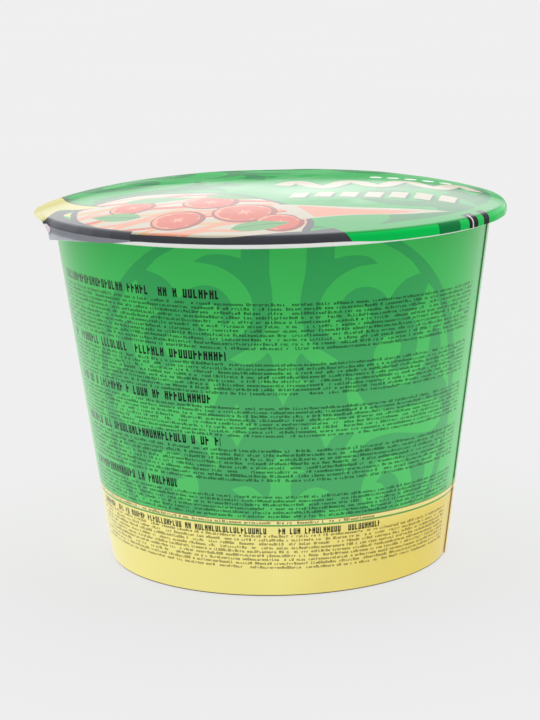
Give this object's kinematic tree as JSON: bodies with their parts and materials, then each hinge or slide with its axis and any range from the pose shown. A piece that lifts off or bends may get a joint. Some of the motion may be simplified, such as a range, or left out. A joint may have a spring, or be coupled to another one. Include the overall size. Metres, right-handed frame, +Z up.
{
  "type": "instant noodle cup",
  "caption": "Sealed instant noodle cup: a round tapered paper tub with a rolled rim and recessed base, shut by a domed glossy film lid with a folded pull tab.",
  "frame": {"origin": "middle of the foot ring, on the surface the cup stands on", "axes": "+Z up along the tub's axis; the printed back panel that the picture shows faces -Y, and the folded pull tab is towards -X and -Y"},
  "size_m": [0.145, 0.145, 0.1172],
  "materials": {
    "printed_paper": "coated paper printed in greens and pale yellow, satin",
    "lid_film": "glossy printed film"
  },
  "bodies": {
    "root": {"tub": "printed_paper", "lid": "lid_film"}
  },
  "joints": []
}
